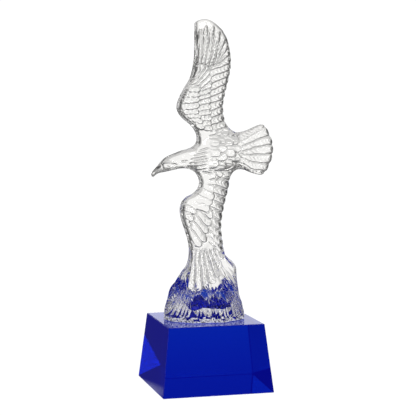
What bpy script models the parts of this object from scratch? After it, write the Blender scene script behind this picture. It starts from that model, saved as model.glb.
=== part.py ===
"""A clear crystal eagle in flight, cast in one with its rock foot, on a tapered cobalt blue crystal block.

Metres, +Z up, front towards -Y. The origin is the centre of the block's underside. The eagle is drawn in
millimetres on an upright plane: x runs towards its tail and h is the height above the foot's underside. Two
depth fields, one for the front and one for the back, then give the casting its thickness and its carving.
"""

import math
from collections import namedtuple

import bmesh
import bpy
import numpy as np
from mathutils import Vector
from mathutils.geometry import delaunay_2d_cdt

MM = 0.001

# Driving sizes, mm
EAGLE_HEIGHT = 271.3
WING_THICKNESS = 15.4
TRAILING_THICKNESS = 9.0
BODY_DEPTH = 23.0
TAIL_THICKNESS = 11.0
FOOT_DEPTH = 67.6
TIP_SWEEP = 4.0
PLINTH_HEIGHT = 61.2
PLINTH_MARGIN = 7.5
PLINTH_FLARE = 7.0
PLINTH_CHAMFER = 0.6
GLUE_GAP = 0.3

# Fineness of the casting's mesh, mm, and the number of triangles it is then reduced to
OUTLINE_STEP = 1.1
FRONT_STEP = 0.85
BACK_STEP = 1.6
WALL_ROWS = 2
CASTING_TRIANGLES = 9400

# Depths of the carving, mm
NOTCH_DEPTH = 0.7
NOTCH_REACH = 4.0
RIM_HEIGHT = 0.6
RIM_WIDTH = 1.3
RIM_INSET = 2.4
GROUND_DEPTH = 0.9
LEAST_DEPTH = 1.3
RISE_ONTO_ROCK = 5.5

# Shares: how much of the front's carving and of its swelling body the back has, how much the wing swells at
# the wrist and thins at its tip, how much of its chord is full thickness, and how much the tail thins
BACK_CARVING = 0.45
BACK_SWELL = 0.45
WRIST_SWELL = 0.10
TIP_TAPER = 0.15
FULL_CHORD = 0.15
TAIL_TAPER = 0.35

# The drawing the sizes above are applied to: the height it is drawn in, the depth its rock is drawn in and
# heights above the foot's underside, mm
WING_TIP = 271.3
ROCK_DRAWN_DEEP = 67.6
WRIST = 195.0
WRIST_REACH = 18.0
TAIL_MIDDLE = 152.5
SHOULDER = 145.0
ROCK_TOP = 60.0

# Where one form fades into the next, mm: the place it starts at and the place it is done at. The first two
# are distances from the shoulder's height and from the tail's middle, and the others are along x. The neck's
# section is full and round, and further on the body is a soft swelling of the wings.
WING_ABOVE_HEAD = (9.0, 17.0)
WING_ABOVE_TAIL = (15.0, 21.0)
WING_BEHIND_HEAD = (-14.0, -3.0)
WING_OVER_TAIL = (24.0, 38.0)
TAIL_ROOT = (24.0, 36.0)
TAIL_END = 65.0
NECK_INTO_BODY = (-18.0, 2.0)

# How widely the crease between the wings and the tail is filled, mm
WING_TAIL_FILLET = 3.0

# Where one form fades into the next as heights above the foot's underside, mm
ROCK_INTO_WING = (56.0, 62.0)
WING_OVER_ROCK = (60.0, 66.0)
RISE_FADES = (26.0, 64.0)
RIM_STARTS = (60.0, 70.0)
RIM_ENDS = (251.3, 265.3)
LEANING_BACK = (170.0, 291.3)

# The outline from the upper wing's tip, down past the head to the foot's left end and up past the tail, as
# smooth stretches that meet at corners, in parts by name
FOOT_LEFT = -37.0
FOOT_RIGHT = 36.0
OUTLINE = (
    (
        ("tip", ((-7.4, 268), (-7.7, 250))),
        ("leading", ((-8.4, 235), (-12, 219.5), (-17.6, 210), (-22.8, 200), (-24.9, 193), (-23.4, 187.3),
                     (-19.6, 182.3), (-11.6, 175.5), (-7.7, 170), (-6.3, 165), (-7.6, 159.6),
                     (-12.5, 155.9))),
        ("head", ((-21.7, 153.2), (-30.1, 150), (-36.5, 147.1), (-40.6, 143.2), (-44.6, 138.6),
                  (-48, 135), (-49.1, 131.8), (-48, 129.6))),
    ),
    (
        ("head", ((-46.2, 130.9), (-43, 133), (-36.6, 134.2), (-22.7, 136.9), (-15.2, 136.4),
                  (-9, 133.6))),
        ("leading", ((-4.7, 128), (-4.2, 122.8), (-6.2, 117.7), (-11, 113.6), (-16.4, 110.9),
                     (-20.4, 106.5), (-22.2, 99.5), (-21, 91), (-17.9, 81.5), (-15, 72), (-13.7, 63),
                     (-14.3, 54.5), (-16.2, 48.8))),
        ("rock", ((-21.4, 42), (-25, 36.5), (-29, 29.9), (-32.4, 22.8), (-35.2, 15), (-37, 7.5),
                  (FOOT_LEFT, 0))),
    ),
    (("seat", ((FOOT_RIGHT, 0),)),),
    (("rock", ((36, 6), (34.5, 13), (32.3, 20.5), (30.7, 29), (30, 37), (30, 46))),),
    (("rock", ((26.4, 51), (22.1, 54.9), (19.4, 57.6))),),
    (
        ("trailing", ((18.3, 63), (17.1, 71), (16, 79.5), (15.9, 86), (16.6, 93), (18.2, 101),
                      (20.6, 111), (22.6, 118.5), (23.7, 125.5), (25.4, 131.4))),
        ("tail", ((30, 135), (35.5, 135.4), (42.5, 133), (49, 130.8), (54, 130.5), (58.2, 133.4),
                  (61.4, 139), (64, 146), (65, 154), (64.1, 161.5), (61.4, 168.6), (58.2, 174),
                  (54.6, 176.6), (48.4, 174.9), (42, 172), (36, 170.2), (30, 169.6))),
        ("trailing", ((24.8, 172), (20.8, 176.6), (18.3, 183), (17.4, 190), (17.7, 197), (19.5, 205),
                      (22.4, 216), (24.7, 226), (25.3, 235), (24.5, 244), (22.3, 253.4), (18.6, 260.2))),
        ("tip", ((13.8, 265.3), (8.4, 269.2), (2.6, 271.3), (-3.4, 270.8), (-7.4, 268))),
    ),
)

# How each part of the outline is rounded over: the width of the rounding and the share left at the edge,
# which is all of it along the seat
EDGE_ROUNDING = {
    "leading": (2.4, 0.76),
    "head": (2.5, 0.45),
    "rock": (3.0, 0.55),
    "tail": (7.0, 0.45),
    "trailing": (9.0, 0.45),
    "tip": (6.0, 0.5),
    "seat": (1.0, 1.0),
}

# The bird from the beak to the tail: x, height of the middle line, half height, share of the body's depth
BODY_STATIONS = (
    (-50.0, 131.0, 2.4, 0.20),
    (-45.0, 134.6, 4.2, 0.36),
    (-40.0, 138.4, 6.0, 0.50),
    (-33.0, 141.2, 8.4, 0.66),
    (-22.0, 145.0, 9.2, 0.74),
    (-10.0, 146.5, 12.5, 0.84),
    (4.0, 149.0, 18.0, 0.95),
    (14.0, 150.5, 20.5, 1.0),
    (26.0, 152.0, 19.0, 0.90),
    (38.0, 152.8, 17.0, 0.62),
    (50.0, 152.8, 14.0, 0.38),
)

# A row of carved feathers: the guide curves that their quills start and end on, and each feather's form
FeatherRow = namedtuple("FeatherRow", "roots tips count half_width lift tilt crown tip_length")

UPPER_WING = (
    FeatherRow(((-9, 222), (-2, 222), (7, 230)),
               ((-4.6, 262.5), (4, 265.5), (13.5, 261), (20.5, 252.5), (24.4, 243)),
               6, 3.7, 0.9, -0.4, 1.0, 7.0),
    FeatherRow(((1, 226), (-2, 205), (-1, 188), (2, 173)),
               ((26, 236), (22.5, 214), (18.6, 194), (20.6, 177)), 10, 3.4, 1.0, -0.75, 0.7, 3.0),
    FeatherRow(((-12, 214), (-16, 208), (-16, 203)),
               ((-7.5, 229), (0, 229.5), (5, 220)), 5, 3.0, 1.9, -0.4, 0.8, 3.2),
    FeatherRow(((-10, 208), (-13, 190), (-5, 175)),
               ((5.6, 213), (5.2, 192), (6.4, 173)), 8, 3.1, 1.9, -0.6, 0.8, 2.8),
    FeatherRow(((-22, 207), (-25, 193), (-12, 178)),
               ((-5.5, 209.5), (-6.5, 191), (-2, 174)), 7, 3.0, 2.4, -0.6, 0.8, 2.8),
)
LOWER_WING = (
    FeatherRow(((-10, 66), (-1, 64), (9, 66)),
               ((-17, 27.6), (-3.5, 26.6), (9.6, 36), (17, 53)), 6, 4.2, 0.7, -0.4, 1.1, 4.0),
    FeatherRow(((1, 134), (0, 113), (0, 96), (1, 85), (4, 75)),
               ((24.6, 129), (20.2, 106), (16.4, 87), (15.8, 75), (17.6, 62)), 10, 3.7, 0.9, -0.7, 0.7, 3.0),
    FeatherRow(((-6, 107), (-14, 101), (-20, 92), (-18, 82)),
               ((6.5, 92), (3.5, 81), (0, 71.5), (-5.6, 65.5), (-11.5, 63)), 6, 3.9, 1.7, -0.6, 0.9, 4.0),
    FeatherRow(((-25, 105), (-22, 93)), ((-9, 98), (-15.5, 84)), 3, 3.4, 2.3, -0.6, 0.9, 3.0),
    FeatherRow(((-10, 119), (-16, 108)), ((8.6, 110), (4, 100)), 3, 4.2, 1.9, -0.5, 0.7, 4.0),
)
BODY_ROWS = (10.0, 16.5, 23.0, 29.5)
BODY_ROW_ROOTS = ((-9.5, 170), (-8, 151), (-9.5, 131))
BODY_ROW_TIPS = ((0, 170.5), (3, 151), (0, 131))
BODY_FEATHERS = tuple(
    FeatherRow(tuple((x + ahead, h) for ahead, h in BODY_ROW_ROOTS),
               tuple((x + ahead, h) for ahead, h in BODY_ROW_TIPS), 6 + k % 2, 3.6, 1.1, -0.2, 0.9, 3.4)
    for k, x in enumerate(BODY_ROWS)
)
NECK_FEATHERS = (
    FeatherRow(((-24, 150), (-24, 139)),
               ((-6, 153.5), (-2, 145.5), (-6, 135)), 6, 1.8, 1.0, -0.35, 0.8, 7.0),
    FeatherRow(((-14, 153), (-12, 145), (-13, 134)),
               ((3, 156), (7, 146.5), (3, 134)), 7, 1.9, 1.1, -0.35, 0.8, 6.0),
)
TAIL_FEATHERS = (
    FeatherRow(((28, 163), (31, 152.5), (28, 142)),
               ((54, 178), (64.6, 165), (66.6, 152), (62.6, 138.6), (54, 129.4)),
               8, 4.3, 0.9, -0.5, 0.9, 3.0),
)
NOTCHED = (UPPER_WING[1], LOWER_WING[1], TAIL_FEATHERS[0])

# The rock foot, as boulders inside a steep skirt: where each one's middle is, and its facets by the
# direction they face in plan, how far they stand from that middle at the ground, and their lean
Facet = namedtuple("Facet", "turn reach lean")
SKIRT = (Facet(-72, 37.4, 0.16), Facet(-40, 35.8, 0.16), Facet(-6, 33.6, 0.13), Facet(32, 35.0, 0.15),
         Facet(68, 38.2, 0.20))
BOULDERS = (
    (0.0, (Facet(-34, 56.0, 1.8), Facet(4, 60.0, 2.1), Facet(42, 57.0, 1.8))),
    (-21.0, (Facet(-58, 24.0, 0.45), Facet(-8, 37.0, 0.80), Facet(48, 27.0, 0.58))),
    (25.0, (Facet(-50, 9.0, 0.02), Facet(4, 13.5, 0.13), Facet(58, 11.0, 0.05))),
    (0.0, (Facet(-60, 33.0, 0.34), Facet(0, 12.5, 0.10), Facet(60, 33.0, 0.14))),
    (-1.0, (Facet(-55, 27.1, 0.7), Facet(0, 48.0, 1.25), Facet(55, 27.1, 0.7))),
    (10.5, (Facet(-58, 22.0, 0.6), Facet(5, 44.0, 1.25), Facet(60, 21.0, 0.6))),
    (21.0, (Facet(-50, 29.0, 0.62), Facet(12, 46.0, 1.05), Facet(62, 24.0, 0.5))),
    (-24.0, (Facet(-60, 24.0, 0.45), Facet(-15, 40.0, 0.8), Facet(40, 30.0, 0.75))),
)
LEAST_ROCK = 3.2
FOOT_LIP = 5.0
FOOT_LIP_HEIGHT = 7.5

# The flutes in the rock: they fan out from one height, wander in two waves given by their size and length,
# and fade out low down and at the skirt's top, or higher up at the rock's two ends
FAN_HEIGHT = 78.0
FLUTE_PITCH = 6.4
FLUTE_DEPTH = 1.5
FLUTE_SHARPNESS = 1.5
FLUTE_WANDER = ((1.7, 5.3), (0.9, 2.1))
FLUTES_START = (3.0, 6.5)
SKIRT_TOP = 28.0
SKIRT_FADE = 9.0
SKIRT_WAVE = (3.0, 3.4)
END_FLUTES = (13.0, 18.0)
END_FLUTES_TOP = (38.0, 50.0)
END_FLUTES_SHARE = 0.6

# The head's carving: places and half sizes as x and height, and the x that lines fade in and out between
EYE = (-32.2, 140.0)
EYE_SIZE = (3.2, 1.25)
SOCKET = (-32.4, 140.2)
SOCKET_SIZE = (5.0, 2.3)
BROW = (-34.0, 143.4)
BROW_CURVE = 0.03
BROW_START = (-41.0, -38.5)
BROW_END = (-29.0, -25.0)
MOUTH_HEIGHT = 134.2
MOUTH_RISE = 3.4
MOUTH_CURVE = (-47.0, -38.0)
MOUTH_START = (-48.0, -46.0)
MOUTH_END = (-36.0, -33.5)
CERE = (-39.6, 139.0)
CERE_TOP = (136.5, 138.0)
CERE_SLOPE = 0.35
EYE_HEIGHT = 1.2
SOCKET_DEPTH = 1.1
BROW_HEIGHT = 1.0
BROW_WIDTH = 0.9
MOUTH_DEPTH = 1.0
MOUTH_WIDTH = 0.55
CERE_DEPTH = 0.9
CERE_WIDTH = 0.6

# The glass
CLEAR_COLOUR = (0.97, 0.98, 1.0)
COBALT_COLOUR = (0.02, 0.03, 0.75)
GLASS_IOR = 1.52


def smooth_step(low, high, value):
    """0 below low, 1 above high, with an even rise between."""
    t = np.clip((value - low) / (high - low), 0.0, 1.0)
    return t * t * (3.0 - 2.0 * t)


def smooth_max(a, b, blend):
    """The larger of two fields, with the crease between them filled over a width of blend."""
    t = np.clip(0.5 + 0.5 * (a - b) / blend, 0.0, 1.0)
    return b + (a - b) * t + blend * t * (1.0 - t)


def guide_curve(points, samples):
    """A smooth curve through the points, as samples + 1 places for each span."""
    knots = np.array(points, float)
    before = 2 * knots[0] - knots[1]
    after = 2 * knots[-1] - knots[-2]
    knots = np.vstack([before, knots, after])
    t = np.linspace(0.0, 1.0, samples, endpoint=False)[:, None]
    spans = []
    for a, b, c, d in zip(knots, knots[1:], knots[2:], knots[3:]):
        spans.append(0.5 * (2 * b + (c - a) * t + (2 * a - 5 * b + 4 * c - d) * t**2
                            + (3 * b - a - 3 * c + d) * t**3))
    return np.vstack(spans + [knots[-2:-1]])


def even_places(curve, count):
    """Count + 1 places at equal distances along a curve, its ends included."""
    length = np.concatenate([[0.0], np.cumsum(np.hypot(*np.diff(curve, axis=0).T))])
    wanted = np.linspace(0.0, length[-1], count + 1)
    return np.column_stack([np.interp(wanted, length, curve[:, k]) for k in (0, 1)])


def outline_places(step):
    """The outline as evenly spaced places, its corners included, and the name of the part each is in."""
    places = []
    names = []
    corner = OUTLINE[-1][-1][1][-1]
    for stretch in OUTLINE:
        points = [corner]
        labels = []
        for name, part in stretch:
            for point in part:
                if point != corner:
                    points.append(point)
                    labels.append(name)
        corner = points[-1]
        samples = 12
        curve = guide_curve(points, samples) if len(points) > 2 else np.array(points, float)
        count = max(2, round(np.hypot(*np.diff(curve, axis=0).T).sum() / step))
        even = even_places(curve, count)[:-1]
        nearest = np.abs(even[:, None] - curve[None]).sum(2).argmin(1)
        for place, k in zip(even, nearest):
            places.append(place)
            names.append(labels[min(k // samples, len(labels) - 1)])
    return np.array(places), names


def notched(places):
    """The outline with a small notch between the ends of neighbouring feathers."""
    moved = places.copy()
    for row in NOTCHED:
        tips = guide_curve(row.tips, 24)
        length = np.concatenate([[0.0], np.cumsum(np.hypot(*np.diff(tips, axis=0).T))])
        apart = np.hypot(places[:, None, 0] - tips[None, :, 0], places[:, None, 1] - tips[None, :, 1])
        nearest = apart.argmin(1)
        on_edge = (apart.min(1) < NOTCH_REACH) & (nearest > 0) & (nearest < len(tips) - 1)
        feather = length[nearest] / length[-1] * (row.count - 1)
        notch = NOTCH_DEPTH * np.abs(np.sin(math.pi * feather)) ** 5 * on_edge
        along = np.roll(places, -1, axis=0) - np.roll(places, 1, axis=0)
        inwards = np.column_stack([-along[:, 1], along[:, 0]]) / np.hypot(*along.T)[:, None]
        moved += inwards * notch[:, None]
    return moved


def distances(x, h, places, names):
    """The distance from each point to each named part of the outline."""
    found = {}
    after = np.roll(places, -1, axis=0)
    for name in EDGE_ROUNDING:
        nearest = np.full(x.shape, 1e9)
        for (ax, ah), (bx, bh), label in zip(places, after, names):
            if label != name:
                continue
            ux, uh = bx - ax, bh - ah
            t = np.clip(((x - ax) * ux + (h - ah) * uh) / (ux * ux + uh * uh), 0.0, 1.0)
            nearest = np.minimum(nearest, (x - ax - t * ux) ** 2 + (h - ah - t * uh) ** 2)
        found[name] = np.sqrt(nearest)
    return found


def feather_relief(x, h, rows):
    """The height of the carved feathers over the ground they lie on, 0 where there are none."""
    relief = np.zeros_like(x)
    for row in rows:
        roots = even_places(guide_curve(row.roots, 12), max(row.count - 1, 1))
        tips = even_places(guide_curve(row.tips, 12), max(row.count - 1, 1))
        for (rx, rh), (tx, th) in zip(roots, tips):
            length = math.hypot(tx - rx, th - rh)
            ux, uh = (tx - rx) / length, (th - rh) / length
            along = (x - rx) * ux + (h - rh) * uh
            across = (h - rh) * ux - (x - rx) * uh
            from_tip = np.clip(1.0 - (length - along) / row.tip_length, 0.0, 1.0)
            width = row.half_width * np.sqrt(1.0 - np.minimum(from_tip, 1.0) ** 2)
            inside = (along > 0.0) & (along < length) & (np.abs(across) < width)
            q = np.where(inside, across / np.maximum(width, 1e-6), 1.0)
            swell = np.sqrt(np.maximum(1.0 - q**2, 0.0))
            rise = smooth_step(0.0, 0.35, along / length)
            height = row.lift * along / length + rise * (row.crown * swell + row.tilt * q)
            relief = np.maximum(relief, np.where(inside, height * np.minimum(1.0, 2.5 * swell), 0.0))
    return relief


def body_depth(x, h):
    """Half the depth of the body, neck and head along their middle line, and the share left at each point."""
    at, middle, half_height, share = guide_curve(BODY_STATIONS, 16).T
    centre = np.interp(x, at, middle)
    rise = np.interp(x, at, half_height)
    full = np.interp(x, at, share) * BODY_DEPTH / 2
    out = np.clip(np.abs(h - centre) / rise, 0.0, 1.0)
    into_body = smooth_step(*NECK_INTO_BODY, x)
    return full, (1.0 - into_body) * np.sqrt(1.0 - out**4) + into_body * (1.0 - out**2) ** 1.5


def wing_depth(x, h, near):
    """Half the thickness of the wings, thick along the leading edge and thin along the trailing one."""
    chord = near["leading"] / (near["leading"] + near["trailing"] + 1e-6)
    thick, thin = WING_THICKNESS / 2, TRAILING_THICKNESS / 2
    depth = thick + (thin - thick) * smooth_step(FULL_CHORD, 1.0, chord)
    swell = WRIST_SWELL * np.exp(-(((h - WRIST) / WRIST_REACH) ** 2))
    taper = TIP_TAPER * smooth_step(WRIST + WRIST_REACH, WING_TIP, h)
    from_head = smooth_step(*WING_ABOVE_HEAD, np.abs(h - SHOULDER))
    from_tail = smooth_step(*WING_ABOVE_TAIL, np.abs(h - TAIL_MIDDLE))
    clear_of_head = np.maximum(from_head, smooth_step(*WING_BEHIND_HEAD, x))
    clear_of_tail = np.maximum(from_tail, 1.0 - smooth_step(*WING_OVER_TAIL, x))
    return depth * (1.0 + swell - taper) * clear_of_head * clear_of_tail


def tail_depth(x):
    """Half the thickness of the tail, thinning towards its feathers' ends."""
    taper = TAIL_TAPER * smooth_step(TAIL_ROOT[1], TAIL_END, x)
    return TAIL_THICKNESS / 2 * smooth_step(*TAIL_ROOT, x) * (1.0 - taper)


def boulder_depth(x, h, middle, facets):
    """How far a mound of flat facets stands out of the middle plane."""
    deepened = FOOT_DEPTH / ROCK_DRAWN_DEEP
    depth = np.full_like(x, 1e9)
    for facet in facets:
        turn = math.radians(facet.turn)
        facet_depth = facet.reach * deepened - facet.lean * h - (x - middle) * math.sin(turn)
        depth = np.minimum(depth, facet_depth / math.cos(turn))
    return depth


def rock_depth(x, h):
    """How far the rock stands out of the middle plane, with flutes that fan out towards the ground."""
    spread = x * FAN_HEIGHT / (FAN_HEIGHT - np.minimum(h, ROCK_TOP))
    wander = sum(amount * np.sin(spread / wave) for amount, wave in FLUTE_WANDER)
    flutes = (1.0 - np.abs(np.sin(math.pi * (spread + wander) / FLUTE_PITCH))) ** FLUTE_SHARPNESS
    skirt_top = SKIRT_TOP + SKIRT_WAVE[0] * np.sin(spread / SKIRT_WAVE[1])
    skirt = 1.0 - smooth_step(skirt_top - SKIRT_FADE, skirt_top, h)
    ends = END_FLUTES_SHARE * smooth_step(*END_FLUTES, np.abs(x)) * (1.0 - smooth_step(*END_FLUTES_TOP, h))
    depth = np.full_like(x, LEAST_ROCK)
    for middle, facets in BOULDERS:
        depth = np.maximum(depth, boulder_depth(x, h, middle, facets))
    depth = np.minimum(depth, boulder_depth(x, h, 0.0, SKIRT))
    depth = depth - FLUTE_DEPTH * flutes * np.maximum(skirt, ends) * smooth_step(*FLUTES_START, h)
    t = np.clip(h / FOOT_LIP_HEIGHT, 0.0, 1.0)
    lip = FOOT_LIP * (1.0 - np.sqrt(1.0 - (1.0 - t) ** 2))
    return (depth - lip) * (1.0 - smooth_step(*ROCK_INTO_WING, h))


def edge_share(near):
    """The share of the depth that is left near the outline."""
    share = 1.0
    for name, (width, least) in EDGE_ROUNDING.items():
        t = np.clip(near[name] / width, 0.0, 1.0)
        share = np.minimum(share, least + (1.0 - least) * np.sqrt(1.0 - (1.0 - t) ** 2))
    return share


def ridge(distance, width):
    """A rounded ridge, 1 high, along the line where the distance is 0."""
    return np.exp(-((distance / width) ** 2))


def face_relief(x, h):
    """The eye in its socket under a brow, the line of the mouth and the edge of the beak's cere."""
    eye = np.exp(-(((x - EYE[0]) / EYE_SIZE[0]) ** 2 + ((h - EYE[1]) / EYE_SIZE[1]) ** 2) ** 2)
    socket = np.exp(-(((x - SOCKET[0]) / SOCKET_SIZE[0]) ** 2 + ((h - SOCKET[1]) / SOCKET_SIZE[1]) ** 2))
    brow = ridge(h - BROW[1] + BROW_CURVE * (x - BROW[0]) ** 2, BROW_WIDTH)
    brow = brow * smooth_step(*BROW_START, x) * (1.0 - smooth_step(*BROW_END, x))
    mouth = ridge(h - MOUTH_HEIGHT - MOUTH_RISE * smooth_step(*MOUTH_CURVE, x), MOUTH_WIDTH)
    mouth = mouth * smooth_step(*MOUTH_START, x) * (1.0 - smooth_step(*MOUTH_END, x))
    cere = ridge(x - CERE[0] + CERE_SLOPE * (h - CERE[1]), CERE_WIDTH) * smooth_step(*CERE_TOP, h)
    raised = EYE_HEIGHT * eye + BROW_HEIGHT * brow
    return raised - SOCKET_DEPTH * socket - MOUTH_DEPTH * mouth - CERE_DEPTH * cere


def bird_depth(x, h, near, swell):
    """Half the depth of the bird without its carving. Its body swells out of the wings by the share given."""
    wings = smooth_max(wing_depth(x, h, near), tail_depth(x), WING_TAIL_FILLET)
    full, share = body_depth(x, h)
    swell = 1.0 - (1.0 - swell) * smooth_step(*NECK_INTO_BODY, x)
    return wings + np.maximum(full - wings, 0.0) * share * swell


def front_depth(x, h, near):
    """How far the front stands out of the middle plane. The lower wing's feathers lie on the rock."""
    primaries = feather_relief(x, h, LOWER_WING[:1])
    bare_rock = (1.0 - smooth_step(*WING_OVER_ROCK, h)) * (primaries <= 0.0)
    rise = RISE_ONTO_ROCK * (1.0 - smooth_step(*RISE_FADES, h))
    bird = (bird_depth(x, h, near, 1.0) + rise) * (1.0 - bare_rock)
    rows = UPPER_WING + LOWER_WING + BODY_FEATHERS + NECK_FEATHERS + TAIL_FEATHERS
    carved = bird + feather_relief(x, h, rows) - GROUND_DEPTH + face_relief(x, h)
    rim = RIM_HEIGHT * ridge(near["leading"] - RIM_INSET, RIM_WIDTH)
    ends = smooth_step(*RIM_STARTS, h) * (1.0 - smooth_step(*RIM_ENDS, h))
    clear_of_head = smooth_step(*WING_ABOVE_HEAD, np.abs(h - SHOULDER))
    carved = carved + rim * ends * clear_of_head
    return np.maximum(np.maximum(carved, rock_depth(x, h)) * edge_share(near), LEAST_DEPTH)


def back_depth(x, h, near):
    """How far the back stands out of the middle plane: the same form with a lower, simpler carving."""
    rows = UPPER_WING[:2] + LOWER_WING[:2] + TAIL_FEATHERS
    carving = BACK_CARVING * (feather_relief(x, h, rows) - GROUND_DEPTH)
    carved = bird_depth(x, h, near, BACK_SWELL) + carving
    return np.maximum(np.maximum(carved, rock_depth(x, h)) * edge_share(near), LEAST_DEPTH)


def middle_plane(h):
    """How far the middle of the casting leans back, which it does only towards the upper wing's tip."""
    return TIP_SWEEP * smooth_step(*LEANING_BACK, h)


def staggered_grid(low, high, step):
    """Points over a rectangle, in rows that make even triangles."""
    rows = []
    for k, h in enumerate(np.arange(low[1], high[1], step * math.sqrt(3) / 2)):
        x = np.arange(low[0] + step / 2 * (k % 2), high[0], step)
        rows.append(np.column_stack([x, np.full_like(x, h)]))
    return np.vstack(rows)


def face_mesh(places, names, step, depth_field, side):
    """One face of the casting inside the outline: its points, the outline's first, and its triangles."""
    grid = staggered_grid(places.min(0), places.max(0), step)
    near = distances(grid[:, 0], grid[:, 1], places, names)
    grid = grid[np.min(list(near.values()), axis=0) > 0.6 * step]
    flat = [Vector(place) for place in np.vstack([places, grid])]
    loop = list(range(len(places)))
    inside = 1
    result = delaunay_2d_cdt(flat, [], [loop], inside, 1e-5)
    points = np.array([tuple(place) for place in result[0]])
    depth = depth_field(points[:, 0], points[:, 1], distances(points[:, 0], points[:, 1], places, names))
    solid = np.column_stack([points[:, 0], middle_plane(points[:, 1]) + side * depth, points[:, 1]])
    return solid, result[2]


def new_object(name, mesh, collection, material):
    mesh.materials.append(material)
    thing = bpy.data.objects.new(name, mesh)
    collection.objects.link(thing)
    return thing


def make_glass(name, colour):
    material = bpy.data.materials.new(name)
    material.use_nodes = True
    shader = material.node_tree.nodes["Principled BSDF"]
    shader.inputs["Base Color"].default_value = (*colour, 1.0)
    shader.inputs["Roughness"].default_value = 0.0
    shader.inputs["IOR"].default_value = GLASS_IOR
    shader.inputs["Transmission Weight"].default_value = 1.0
    material.diffuse_color = (*colour, 1.0)
    return material


def make_eagle(collection):
    """The casting: both faces, joined by a wall round the outline, which is flat under the foot."""
    places, names = outline_places(OUTLINE_STEP)
    places = notched(places)
    count = len(places)
    front, front_faces = face_mesh(places, names, FRONT_STEP, front_depth, -1)
    back, back_faces = face_mesh(places, names, BACK_STEP, back_depth, 1)
    bm = bmesh.new()
    drawn_mm = EAGLE_HEIGHT * MM / WING_TIP
    scale = np.array([drawn_mm, MM, drawn_mm])
    lift = np.array([0.0, 0.0, (PLINTH_HEIGHT + GLUE_GAP) * MM])
    front_verts = [bm.verts.new(p) for p in front * scale + lift]
    back_verts = [bm.verts.new(p) for p in back * scale + lift]
    for face in front_faces:
        bm.faces.new([front_verts[k] for k in face])
    for face in back_faces:
        bm.faces.new([back_verts[k] for k in reversed(face)])
    rows = [front_verts[:count]]
    for k in range(1, WALL_ROWS + 1):
        share = k / (WALL_ROWS + 1)
        ring = (front[:count] * (1 - share) + back[:count] * share) * scale + lift
        rows.append([bm.verts.new(p) for p in ring])
    rows.append(back_verts[:count])
    for near_row, far_row in zip(rows, rows[1:]):
        for k in range(count):
            after = (k + 1) % count
            bm.faces.new((near_row[k], near_row[after], far_row[after], far_row[k]))
    bmesh.ops.triangulate(bm, faces=bm.faces)
    bmesh.ops.recalc_face_normals(bm, faces=bm.faces)
    triangles = len(bm.faces)
    mesh = bpy.data.meshes.new("eagle")
    bm.to_mesh(mesh)
    bm.free()
    mesh.shade_smooth()
    clear = make_glass("clear crystal", CLEAR_COLOUR)
    eagle = new_object("eagle", mesh, collection, clear)
    fewer = eagle.modifiers.new("fewer faces", "DECIMATE")
    fewer.ratio = min(1.0, CASTING_TRIANGLES / triangles)
    return eagle


def make_plinth(collection):
    """The block: a square pyramid cut off flat, with its edges lightly chamfered."""
    top = (FOOT_RIGHT - FOOT_LEFT) * EAGLE_HEIGHT / WING_TIP + 2 * PLINTH_MARGIN
    foot = top + 2 * PLINTH_FLARE
    bm = bmesh.new()
    bmesh.ops.create_cube(bm, size=1.0)
    for vert in bm.verts:
        side = top if vert.co.z > 0 else foot
        vert.co.x *= side * MM
        vert.co.y *= side * MM
        vert.co.z = (vert.co.z + 0.5) * PLINTH_HEIGHT * MM
    mesh = bpy.data.meshes.new("plinth")
    bm.to_mesh(mesh)
    bm.free()
    blue = make_glass("cobalt crystal", COBALT_COLOUR)
    plinth = new_object("plinth", mesh, collection, blue)
    chamfer = plinth.modifiers.new("chamfer", "BEVEL")
    chamfer.width = PLINTH_CHAMFER * MM
    chamfer.segments = 1
    return plinth


def main():
    for thing in list(bpy.data.objects):
        bpy.data.objects.remove(thing)
    collection = bpy.data.collections.new("crystal eagle")
    bpy.context.scene.collection.children.link(collection)
    make_eagle(collection)
    make_plinth(collection)


main()
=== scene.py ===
"""A clear crystal eagle in flight on a block of cobalt blue crystal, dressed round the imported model.

The eagle is drawn in millimetres on an upright plane: x runs towards its tail and h is the height above the
foot's underside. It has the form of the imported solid, with a finer carving, softened as if fire polished.
"""

import math
from collections import namedtuple

import bmesh
import bpy
import numpy as np
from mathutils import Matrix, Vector
from mathutils.geometry import delaunay_2d_cdt


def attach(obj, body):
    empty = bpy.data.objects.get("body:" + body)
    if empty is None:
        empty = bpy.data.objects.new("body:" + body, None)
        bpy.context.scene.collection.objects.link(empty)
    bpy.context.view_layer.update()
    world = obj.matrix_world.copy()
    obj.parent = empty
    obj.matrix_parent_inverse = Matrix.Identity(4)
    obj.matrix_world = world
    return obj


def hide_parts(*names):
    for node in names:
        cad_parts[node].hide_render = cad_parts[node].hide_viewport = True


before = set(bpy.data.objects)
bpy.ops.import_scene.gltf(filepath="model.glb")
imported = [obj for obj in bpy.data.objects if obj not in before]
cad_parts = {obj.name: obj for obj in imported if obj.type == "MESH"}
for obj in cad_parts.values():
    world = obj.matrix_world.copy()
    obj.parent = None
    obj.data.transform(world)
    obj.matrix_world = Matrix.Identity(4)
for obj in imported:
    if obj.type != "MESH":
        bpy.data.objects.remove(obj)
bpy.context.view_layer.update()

MM = 0.001

# A length as good as none and one beyond all here, mm
TINY = 1e-6
FAR = 1e9

# The floor, a disc that fades out towards its edge: its radius, where it starts to fade and how far it lies
# under the block, metres
FLOOR_RADIUS = 0.075
FLOOR_FADE = 0.03
FLOOR_GAP = 0.0004

# The camera: where it looks and from how far, metres, its turn from -Y towards +X and its rise, degrees, and
# its lens in millimetres
CAMERA_TARGET = Vector((0.0035, 0.0, 0.1623))
CAMERA_AZIMUTH = -15.13
CAMERA_ELEVATION = 4.603
CAMERA_DISTANCE = 1.1961
CAMERA_LENS = 113.77

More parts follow.
